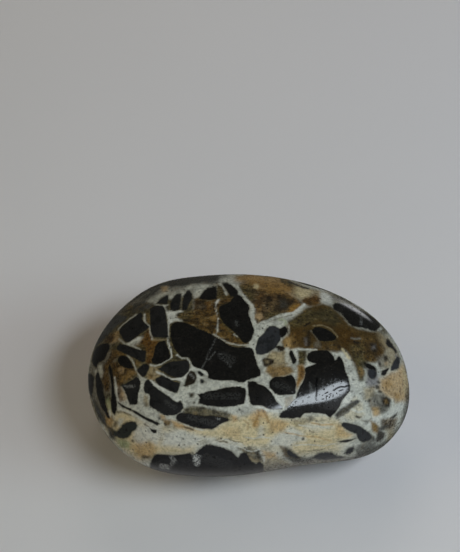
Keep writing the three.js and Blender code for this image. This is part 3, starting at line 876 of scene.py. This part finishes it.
def keep_numbers(mesh, name, values):
    mesh.attributes.new(name, "FLOAT", "POINT").data.foreach_set("value", values.astype(np.float32))


def keep_colours(mesh, name, rgba):
    stored = mesh.attributes.new(name, "FLOAT_COLOR", "POINT")
    stored.data.foreach_set("color", rgba.astype(np.float32).ravel())


def mark(mesh, points):
    """Writes the markings to the mesh as attributes that the stone's material reads."""
    places, depth = on_sheet(points)
    rays = normalised(np.array(viewing_point()) - points)
    turned = (vertex_normals(mesh) * rays).sum(1)
    wander = np.array([noise.noise(Vector(point)) for point in points / WANDER_SIZE])
    unseen = ramp(DRAWN_TO + BORDER_WANDER * wander - turned, -BORDER_BLEND, BORDER_BLEND)
    drawn_side = 1 - unseen
    ends = depth + DEPTH_WANDER * wander
    layers, nearest, colour = fragment_layers(places, ends, turned > HARDLY_SEEN)
    for i, layer in enumerate(layers):
        keep_numbers(mesh, f"fragments_{i}", layer * SQUARE)
    keep_numbers(mesh, "nearest_fragment", nearest * SQUARE)
    keep_numbers(mesh, "unseen_side", unseen)
    keep_numbers(mesh, "scratch", drawn_side * line_strength(places, SCRATCHES))
    keep_numbers(mesh, "crack", drawn_side * line_strength(places, CRACKS))
    keep_colours(mesh, "fragment_colour", colour)
    keep_colours(mesh, "ground_colour", ground_colour(swirled(points, places), drawn_side))


# ---- the nodes of a material -----------------------------------------------------------------


class Shading:
    """The node tree of a material or of the air, with short calls for the nodes that it uses."""

    def __init__(self, owner):
        owner.use_nodes = True
        self.tree = owner.node_tree
        self.tree.nodes.clear()

    def node(self, kind, inputs=(), **settings):
        made = self.tree.nodes.new("ShaderNode" + kind)
        for name, value in settings.items():
            setattr(made, name, value)
        for key, value in dict(inputs).items():
            self.give(made.inputs[key], value)
        return made

    def give(self, socket, value):
        if isinstance(value, bpy.types.NodeSocket):
            self.tree.links.new(value, socket)
        else:
            socket.default_value = value

    def place(self):
        return self.node("TexCoord").outputs["Object"]

    def attribute(self, name, output="Fac"):
        return self.node("Attribute", attribute_name=name).outputs[output]

    def maths(self, operation, *values):
        return self.node("Math", enumerate(values), operation=operation).outputs[0]

    def plus(self, a, b):
        return self.maths("ADD", a, b)

    def less(self, a, b):
        return self.maths("SUBTRACT", a, b)

    def times(self, a, b):
        return self.maths("MULTIPLY", a, b)

    def step(self, value, low, high, least=0.0, most=1.0):
        """From least to most as the value goes from low to high, with a smooth rise between them."""
        inputs = {"Value": value, "From Min": low, "From Max": high, "To Min": least, "To Max": most}
        return self.node("MapRange", inputs, interpolation_type="SMOOTHSTEP").outputs["Result"]

    def between(self, share, a, b):
        return self.node("Mix", {0: share, 2: a, 3: b}).outputs[0]

    def mix(self, share, a, b, blend="MIX"):
        """Colour a with a share of colour b over it. A colour may be a mineral's name."""
        a, b = (MINERAL_COLOUR[c] if isinstance(c, str) else c for c in (a, b))
        made = self.node("Mix", data_type="RGBA", blend_type=blend)
        for socket, value in ((0, share), (6, a), (7, b)):
            self.give(made.inputs[socket], value)
        return made.outputs[2]

    def noise(self, place, size, detail=3.0, roughness=0.55, distortion=0.0, output="Fac"):
        """Noise whose lumps are about size millimetres across."""
        inputs = {"Vector": place, "Scale": 1 / (size * MM), "Detail": detail,
                  "Roughness": roughness, "Distortion": distortion}
        return self.node("TexNoise", inputs).outputs[output]

    def cells(self, place, size, feature="F1", randomness=1.0):
        inputs = {"Vector": place, "Scale": 1 / (size * MM), "Randomness": randomness}
        return self.node("TexVoronoi", inputs, feature=feature).outputs

    def split(self, colour):
        return self.node("SeparateColor", {"Color": colour}).outputs

    def shader(self, kind, inputs, output="OutputMaterial"):
        """Ends the tree with a shader and its output."""
        self.node(output, {"Surface": self.node(kind, inputs).outputs[0]})


# ---- the polished stone's material -----------------------------------------------------------

NOISE_MIDDLE = 0.5
CRISP_EDGE = 0.13  # half the width of a drawn fragment's edge at softness 1, in millimetres
BROKEN_EDGE = 0.10  # the same for the cells of the unseen side
CELL_SIZE = 10.5  # millimetres: the broken cells of the unseen side
CELL_SPREAD = 0.95  # how unevenly they lie
BEND = 6 * MM  # how far the unseen side's cells and stains are pushed about
FRAGMENT_ROUGHNESS = (0.07, 0.16)
GROUND_ROUGHNESS = (0.22, 0.36)
PIT_DEPTH = 0.03 * MM
PIT_STRENGTH = 0.10
REFRACTION = 1.5  # that of quartz, nearly
# Stains of the unseen side: mineral, size in millimetres, and where in the noise they begin and end.
UNSEEN_STAINS = [
    ("cream", 13, 0.46, 0.60),
    ("ochre", 8, 0.55, 0.66),
    ("brown", 15, 0.52, 0.60),
    ("grey", 6, 0.56, 0.68),
]


def raggedness(s, place):
    """How far a fragment's edge wanders, in millimetres: further where it is chipped."""
    chipped = s.step(s.noise(place, 3.0, detail=2.0), 0.42, 0.60, least=0.12, most=0.55)
    broad = s.times(s.less(s.noise(place, 1.1), NOISE_MIDDLE), 0.32)
    return s.plus(broad, s.times(s.less(s.noise(place, 0.30), NOISE_MIDDLE), chipped))


def drawn_fragments(s):
    """The distance to the nearest drawn fragment of all layers, in millimetres."""
    nearest = s.attribute("fragments_0")
    for i in range(1, LAYERS):
        nearest = s.maths("MINIMUM", nearest, s.attribute(f"fragments_{i}"))
    return nearest


def broken_cells(s, bent, unseen, ragged):
    """Where the fragments of the unseen side are, and how far each spot is from a seam."""
    to_seam = s.cells(bent, CELL_SIZE, "DISTANCE_TO_EDGE", CELL_SPREAD)["Distance"]
    cell = s.split(s.cells(bent, CELL_SIZE, "F1", CELL_SPREAD)["Color"])
    gap = s.maths("MULTIPLY_ADD", cell[1], 0.10, 0.045)
    beyond = s.plus(s.times(s.less(gap, to_seam), CELL_SIZE), ragged)
    dark = s.times(s.step(beyond, BROKEN_EDGE, -BROKEN_EDGE), s.step(cell[0], 0.30, 0.32))
    clear = s.step(s.attribute("nearest_fragment"), 0.5, 0.7)
    return s.times(dark, s.times(s.step(unseen, 0.5, 0.6), clear)), to_seam


def stained_ground(s, bent, unseen, to_seam):
    """The stains as drawn, and stains of their own on the unseen side, with their graininess."""
    stained = s.node("Attribute", attribute_name="ground_colour").outputs
    ground, grainy = stained["Color"], stained["Alpha"]
    for mineral, size, start, end in UNSEEN_STAINS:
        patches = s.noise(bent, size, detail=4.0, roughness=0.6, distortion=0.5)
        share = s.times(s.step(patches, start, end), unseen)
        ground = s.mix(share, ground, mineral)
        grainy = s.between(share, grainy, MINERAL_COLOUR[mineral][3])
    seams = s.times(s.step(to_seam, 0.030, 0.012, most=0.9), unseen)
    return s.mix(seams, ground, "white"), grainy


def speckled_ground(s, place, ground, grainy, clouds, fine):
    """Dark and light speckles, and dashes where the stone is brown and coarse."""
    dark = s.mix(0.80, ground, "umber")
    light = s.mix(0.40, ground, "ochre")
    speckled = s.mix(s.step(clouds, 0.50, 0.40, most=0.8), ground, dark)
    speckled = s.mix(s.step(clouds, 0.54, 0.64), speckled, light)
    speckled = s.mix(s.step(fine, 0.49, 0.43, most=0.85), speckled, dark)
    ground = s.mix(grainy, ground, speckled)
    stretched = s.node("Mapping", {"Vector": place, "Scale": (0.35, 1.0, 1.0)}).outputs[0]
    dashes = s.noise(stretched, 0.55, roughness=0.6)
    coarse = s.step(grainy, 0.55, 0.95)
    ground = s.mix(s.times(s.step(dashes, 0.43, 0.37, most=0.85), coarse), ground, "umber")
    return s.mix(s.times(s.step(dashes, 0.60, 0.66, most=0.4), coarse), ground, "buff")


def grained_ground(s, place, ground, grainy, fine):
    """Soft mottling, and dark grains: each is a cell of its own, and grainy stone has more."""
    mottled = s.step(s.noise(place, 0.8, distortion=0.6), 0.47, 0.36, most=0.28)
    ground = s.mix(mottled, ground, GROUND_SHADE, "MULTIPLY")
    scattered = s.cells(place, 0.9)
    chance = s.plus(s.split(scattered["Color"])[0], s.times(grainy, 0.30))
    spot = s.step(s.plus(scattered["Distance"], s.times(fine, 0.5)), 0.52, 0.42)
    grains = s.times(spot, s.maths("GREATER_THAN", chance, 0.96))
    return s.mix(s.times(grains, 0.75), ground, "umber")


def streaked_ground(s, place, ground):
    """Faint streaks along the stone, with fine dark threads here and there."""
    lengthwise = s.node("Mapping", {"Vector": place, "Scale": (0.4, 1.3, 1.3)}).outputs[0]
    streaks = s.noise(lengthwise, 0.9, detail=4.0, roughness=0.65, distortion=0.4)
    ground = s.mix(s.step(streaks, 0.50, 0.35, most=0.20), ground, GROUND_SHADE, "MULTIPLY")
    swells = s.noise(lengthwise, 2.6, detail=4.0, roughness=0.6, distortion=0.8)
    threads = s.step(s.maths("ABSOLUTE", s.less(swells, NOISE_MIDDLE)), 0.010, 0.003)
    threaded = s.step(s.noise(place, 4.0, detail=2.0), 0.50, 0.60, most=0.55)
    return s.mix(s.times(threads, threaded), ground, "olive")


def fragment_body(s, place, clouds, fine, crack):
    """Inside the fragments: fine mottling, faint clouds, pale scratches and dark cracks."""
    body = s.attribute("fragment_colour", "Color")
    body = s.mix(s.step(fine, 0.50, 0.62, most=0.22), body, WARM_MOTTLE)
    body = s.mix(s.step(clouds, 0.5, 0.38, most=0.5), body, DARK_CLOUD)
    veils = s.noise(place, 2.2, detail=5.0, roughness=0.65)
    body = s.mix(s.step(veils, 0.48, 0.8, most=0.07), body, PALE_VEIL)
    broken_up = s.step(s.noise(place, 0.35, roughness=0.7), 0.42, 0.55)
    body = s.mix(s.times(s.attribute("scratch"), broken_up), body, PALE_SCRATCH)
    return s.mix(crack, body, DARK_CRACK)


def polish(s, place, fragment, crack):
    """Glassy fragments and a slightly duller ground, with fine pits that take the shine away."""
    dull = s.noise(place, 0.5)
    fragment_gloss = s.step(dull, 0.3, 0.8, *FRAGMENT_ROUGHNESS)
    ground_gloss = s.step(dull, 0.3, 0.8, *GROUND_ROUGHNESS)
    pits = s.step(s.noise(place, 0.5, detail=2.0, roughness=0.6), 0.60, 0.66)
    shineless = s.maths("MAXIMUM", crack, s.times(pits, 0.8))
    height = s.less(s.times(fragment, 0.5), pits)
    bump = s.node("Bump", {"Strength": PIT_STRENGTH, "Distance": PIT_DEPTH, "Height": height})
    return {
        "Roughness": s.between(fragment, ground_gloss, fragment_gloss),
        "Specular IOR Level": s.step(shineless, 0.0, 1.0, least=0.5, most=0.0),
        "Normal": bump.outputs[0],
        "IOR": REFRACTION,
    }


def polished_jasper():
    material = bpy.data.materials.new("polished_brecciated_jasper")
    s = Shading(material)
    place = s.place()
    unseen = s.attribute("unseen_side")
    warp = s.noise(place, 9, detail=2.0, roughness=0.5, output="Color")
    bent = s.node("VectorMath", {0: warp, 1: (BEND, BEND, BEND), 2: place}, operation="MULTIPLY_ADD")
    bent = bent.outputs[0]
    clouds = s.noise(place, 1.6, detail=5.0, roughness=0.62)
    fine = s.noise(place, 0.42, detail=4.0, roughness=0.7)
    crack = s.attribute("crack")

    ragged = raggedness(s, place)
    drawn = drawn_fragments(s)
    broken, to_seam = broken_cells(s, bent, unseen, ragged)
    fragment = s.maths("MAXIMUM", s.step(s.plus(drawn, ragged), CRISP_EDGE, -CRISP_EDGE), broken)

    ground, grainy = stained_ground(s, bent, unseen, to_seam)
    ground = speckled_ground(s, place, ground, grainy, clouds, fine)
    ground = grained_ground(s, place, ground, grainy, fine)
    ground = streaked_ground(s, place, ground)
    # a thin darker seam where the ground meets a fragment
    ground = s.mix(s.step(drawn, 0.30, 0.0, most=0.5), ground, s.mix(0.6, ground, "olive"))

    colour = s.mix(fragment, ground, fragment_body(s, place, clouds, fine, crack))
    s.shader("BsdfPrincipled", {"Base Color": colour, **polish(s, place, fragment, crack)})
    return material


# ---- the studio ------------------------------------------------------------------------------

FLOOR_SIZE = 4.0  # metres
FLOOR_TONES = (paint(232, 228, 228), paint(236, 231, 230))
LAMPS_AIM = Vector((0, 0, 14 * MM))

# Lamps: azimuth and elevation in degrees, distance in metres, how many degrees wide and high each
# looks from the stone, power in watts, colour, and whether the polish mirrors it.
LAMPS = {
    "key_strip": (-35, 56.5, 0.45, (33, 12), 0.69, (0.83, 0.926, 1.0), True),
    "under_strip": (-31, 43, 0.45, (36, 14), 0.034, (0.9, 0.95, 1.0), True),
    "broad_key": (-30, 40, 0.5, (50, 25), 0.23, (0.97, 0.98, 1.0), False),
    "low_key": (-15, 30, 0.5, (30, 15), 0.44, (0.66, 0.90, 1.0), False),
    "right_fill": (20, 22, 0.35, (40, 20), 0.05, (0.52, 0.48, 1.0), False),
    "left_fill": (180, 40, 0.6, (50, 30), 0.45, (1.0, 0.88, 0.56), False),
    "front_fill": (-120, 11, 0.5, (60, 20), 0.30, (1.0, 1.0, 1.0), False),
    "back_high": (90, 38, 0.4, (36, 22), 0.19, (1.0, 0.93, 0.84), False),
}

# What the polish mirrors besides the lamps: a dim room with broad soft glows in it. Each glow: its
# colour, its azimuth and elevation, and how many degrees away it starts to fade and is gone.
DIM_ROOM = (0.045, 0.045, 0.042, 1)
GLOWS = [
    ((0.24, 0.25, 0.27, 1), -65, 20, 0, 70),
    ((0.24, 0.25, 0.27, 1), -68, -22, 0, 65),
    ((1.90, 1.93, 1.98, 1), 67, -15, 2, 7),
    ((0.26, 0.26, 0.26, 1), -90, -84, 0, 30),
]


def placed(name, data):
    """A new object in the scene."""
    thing = bpy.data.objects.new(name, data)
    bpy.context.scene.collection.objects.link(thing)
    return thing


def studio_floor():
    grid = bmesh.new()
    bmesh.ops.create_grid(grid, x_segments=1, y_segments=1, size=FLOOR_SIZE)
    mesh = bpy.data.meshes.new("studio_floor")
    grid.to_mesh(mesh)
    grid.free()
    material = bpy.data.materials.new("pale_studio_floor")
    s = Shading(material)
    tone = s.mix(s.noise(s.place(), 60, detail=2.0), *FLOOR_TONES)
    s.shader("BsdfPrincipled", {"Base Color": tone, "Roughness": 0.6, "Specular IOR Level": 0.2})
    mesh.materials.append(material)
    floor = placed("studio_floor", mesh)
    floor.visible_glossy = False


def soft_lamp(name, azimuth, elevation, distance, spread, power, colour, mirrored):
    """A soft oval lamp that faces the stone."""
    light = bpy.data.lights.new(name, "AREA")
    light.shape = "ELLIPSE"
    light.size, light.size_y = (2 * distance * math.tan(math.radians(angle / 2)) for angle in spread)
    light.energy = power
    light.color = colour
    lamp = placed(name, light)
    way = Vector(facing(azimuth, elevation))
    lamp.location = LAMPS_AIM + way * distance
    lamp.rotation_euler = way.to_track_quat("Z", "Y").to_euler()
    lamp.visible_glossy = mirrored


def studio_air():
    world = bpy.data.worlds.new("studio_air")
    s = Shading(world)
    world.cycles_visibility.diffuse = False
    way = s.node("TexCoord").outputs["Generated"]
    light = DIM_ROOM
    for colour, azimuth, elevation, core, reach in GLOWS:
        towards = {0: way, 1: facing(azimuth, elevation)}
        inputs = {
            "Value": s.node("VectorMath", towards, operation="DOT_PRODUCT").outputs["Value"],
            "From Min": math.cos(math.radians(reach)),
            "From Max": math.cos(math.radians(core)),
        }
        light = s.mix(s.node("MapRange", inputs).outputs["Result"], light, colour)
    s.shader("Background", {"Color": light}, "OutputWorld")
    bpy.context.scene.world = world


def studio_camera():
    lens = bpy.data.cameras.new("studio_camera")
    lens.sensor_width = SENSOR
    lens.lens = SENSOR * VIEW_DISTANCE / (SHEET.y * SQUARE)
    lens.clip_start, lens.clip_end = 0.01, 20  # metres
    camera = placed("studio_camera", lens)
    camera.location = viewing_point() * MM
    camera.rotation_euler = TOWARDS_VIEWER.to_track_quat("Z", "Y").to_euler()
    bpy.context.scene.camera = camera


# ---- putting it together ---------------------------------------------------------------------

mesh, points = pebble_mesh()
mark(mesh, points)
mesh.materials.append(polished_jasper())
pebble = placed("pebble_polished", mesh)
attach(pebble, "root")
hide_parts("pebble")

studio_camera()
studio_floor()
for name, settings in LAMPS.items():
    soft_lamp(name, *settings)
studio_air()

bpy.context.scene.view_settings.view_transform = "Standard"
bpy.context.scene.view_settings.look = "None"
